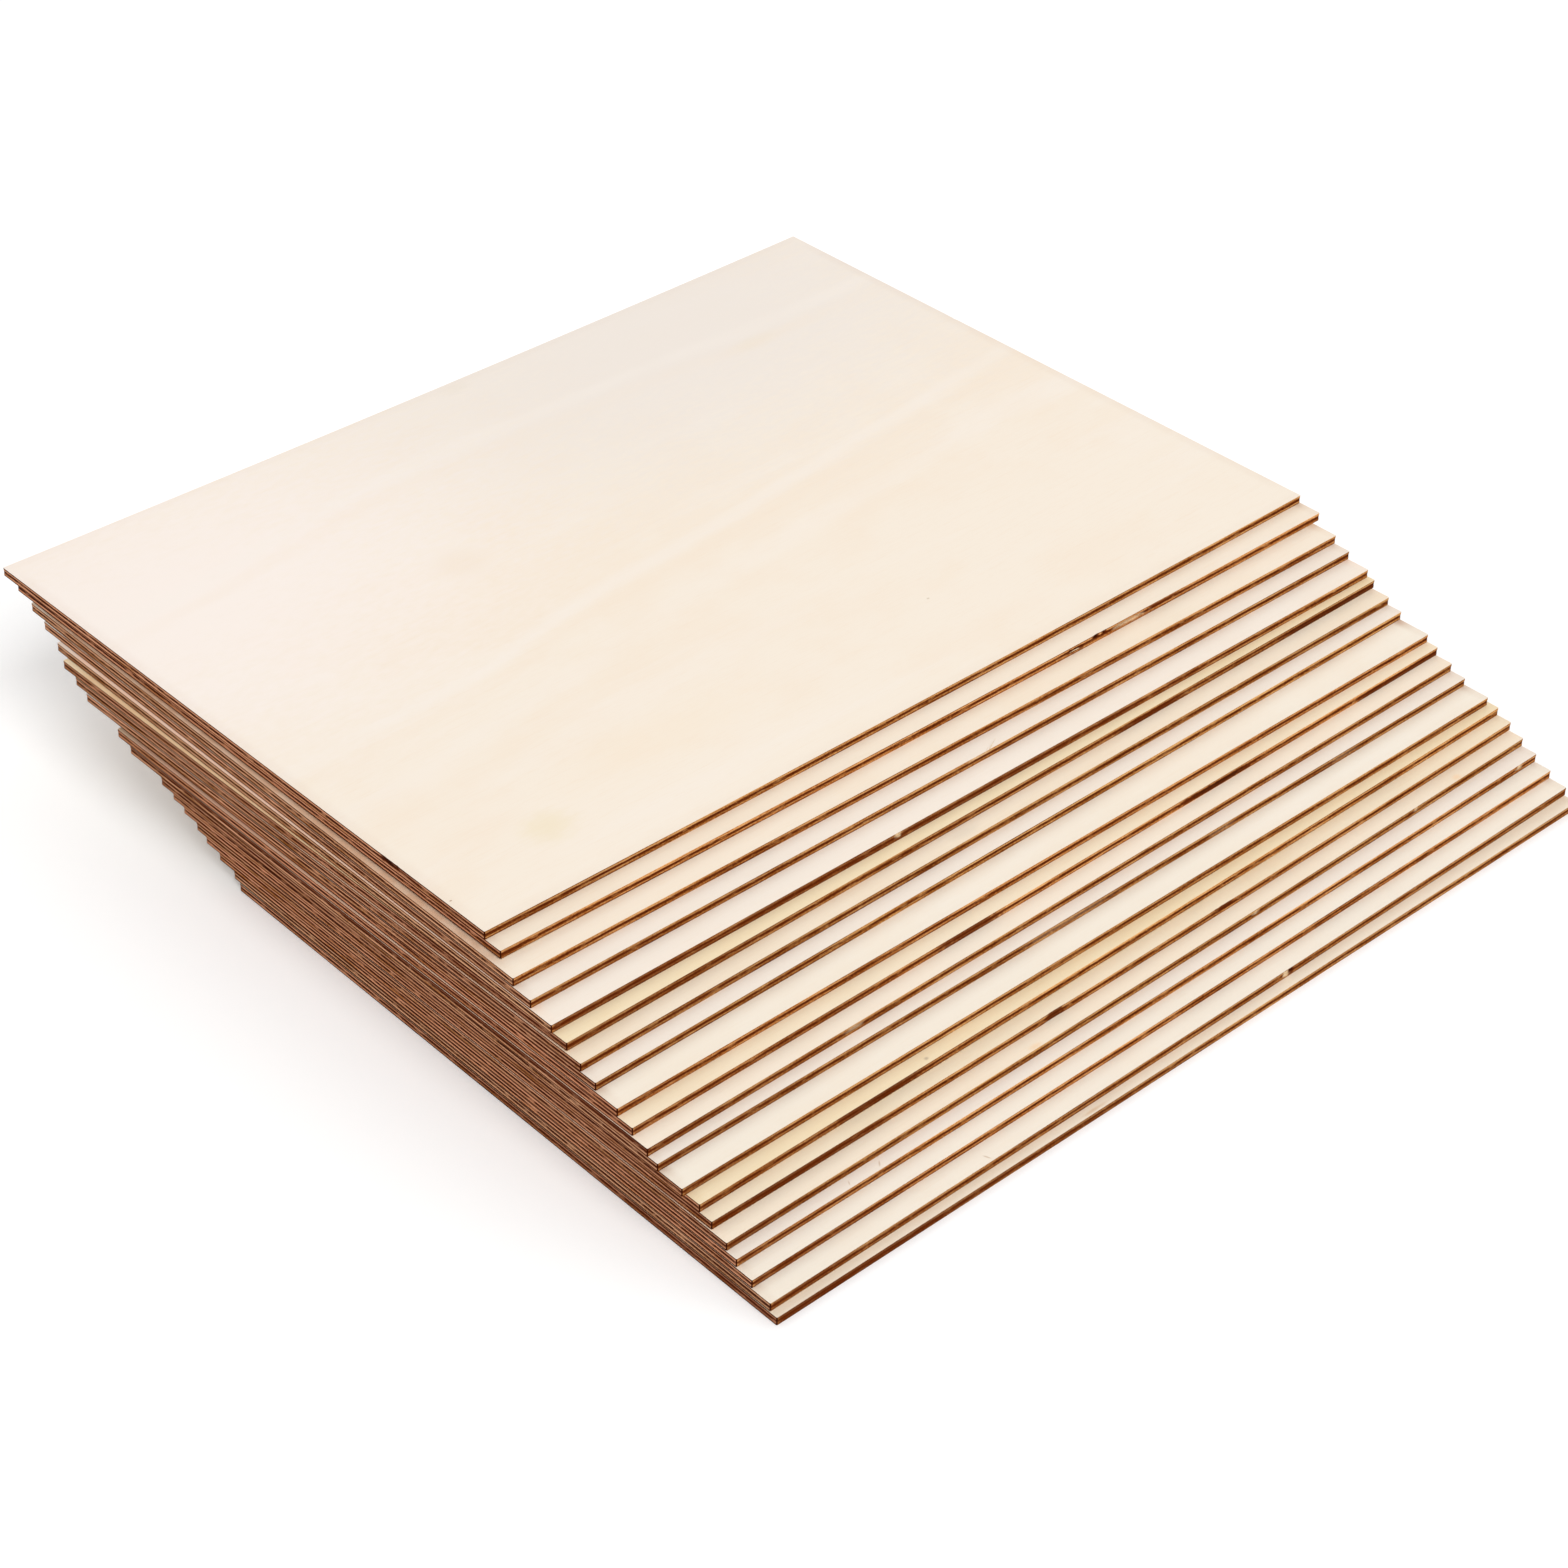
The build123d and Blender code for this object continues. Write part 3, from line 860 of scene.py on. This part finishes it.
def buildFloor():
    mesh = bmesh.new()
    half = floorValues["half"]
    corners = ((-half, -half), (half, -half), (half, half), (-half, half))
    mesh.faces.new([mesh.verts.new((x, y, 0)) for x, y in corners])
    data = bpy.data.meshes.new("floorMesh")
    mesh.to_mesh(data)
    mesh.free()
    floor = bpy.data.objects.new("floor", data)
    scene.collection.objects.link(floor)
    material, tree, shader = newMaterial("paleFloor")
    shader.inputs["Base Color"].default_value = floorValues["color"]
    shader.inputs["Roughness"].default_value = floorValues["roughness"]
    shader.inputs["Specular IOR Level"].default_value = 0.0
    shader.inputs["Emission Color"].default_value = (1, 1, 1, 1)
    seen = addNode(tree, "ShaderNodeLightPath").outputs["Is Camera Ray"]
    place = addNode(tree, "ShaderNodeTexCoord").outputs["Object"]
    away = addNode(tree, "ShaderNodeVectorMath", {0: place}, operation="LENGTH").outputs["Value"]
    lift = rampTo(tree, away, *floorValues["liftFrom"], *floorValues["lift"])
    tree.links.new(calc(tree, "MULTIPLY", seen, lift), shader.inputs["Emission Strength"])
    data.materials.append(material)


lightValues = {
    "worldColor": (1.0, 1.0, 1.0, 1),
    "worldStrength": 0.53,
    "lamps": [
        {"name": "keyLight", "from": (-0.8, -2.35, 3.3), "size": 2.4, "power": 90,
         "color": (1.0, 0.995, 0.985)},
        {"name": "backLight", "from": (0.9, 1.1, 1.5), "size": 1.5, "power": 5.8,
         "color": (1.0, 1.0, 1.0)},
    ],
}


def buildLights():
    world = bpy.data.worlds.new("studio")
    scene.world = world
    world.use_nodes = True
    tree = world.node_tree
    tree.nodes.clear()
    # white where it is seen, softer as a light
    path = addNode(tree, "ShaderNodeLightPath").outputs
    seen = calc(tree, "MAXIMUM", path["Is Camera Ray"], path["Is Glossy Ray"])
    seen = calc(tree, "MAXIMUM", seen, path["Is Transmission Ray"])
    soft = addNode(tree, "ShaderNodeBackground",
                   {0: lightValues["worldColor"], 1: lightValues["worldStrength"]})
    white = addNode(tree, "ShaderNodeBackground", {0: (1, 1, 1, 1), 1: 1.0})
    mix = addNode(tree, "ShaderNodeMixShader", {0: seen, 1: soft.outputs[0], 2: white.outputs[0]})
    output = addNode(tree, "ShaderNodeOutputWorld")
    tree.links.new(mix.outputs[0], output.inputs[0])
    for values in lightValues["lamps"]:
        lamp = bpy.data.lights.new(values["name"], "AREA")
        lamp.energy = values["power"]
        lamp.size = values["size"]
        lamp.color = values["color"]
        holder = bpy.data.objects.new(values["name"], lamp)
        holder.location = values["from"]
        holder.rotation_euler = (-Vector(values["from"])).to_track_quat("-Z", "Y").to_euler()
        scene.collection.objects.link(holder)


cameraValues = {
    "target": (-0.07987, -0.03452, 0.05238),
    "azimuth": 41.197,
    "elevation": 36.626,
    "distance": 0.83289,
    "lens": 76.438,
    "sensor": 36.0,
    "shiftX": 0.0856,
    "clipStart": 0.01,
}


def buildCamera():
    turn, tilt = math.radians(cameraValues["azimuth"]), math.radians(cameraValues["elevation"])
    forward = Vector((math.sin(turn) * math.cos(tilt), math.cos(turn) * math.cos(tilt), -math.sin(tilt)))
    lens = bpy.data.cameras.new("photoCamera")
    lens.sensor_fit = "HORIZONTAL"
    lens.sensor_width = cameraValues["sensor"]
    lens.lens = cameraValues["lens"]
    lens.shift_x = cameraValues["shiftX"]
    lens.clip_start = cameraValues["clipStart"]
    holder = bpy.data.objects.new("photoCamera", lens)
    holder.location = Vector(cameraValues["target"]) - forward * cameraValues["distance"]
    holder.rotation_euler = forward.to_track_quat("-Z", "Y").to_euler()
    scene.collection.objects.link(holder)
    scene.camera = holder


buildFloor()
buildLights()
buildCamera()
scene.view_settings.view_transform = "Standard"
print("floor, lights and camera in place")

bpy.context.view_layer.update()
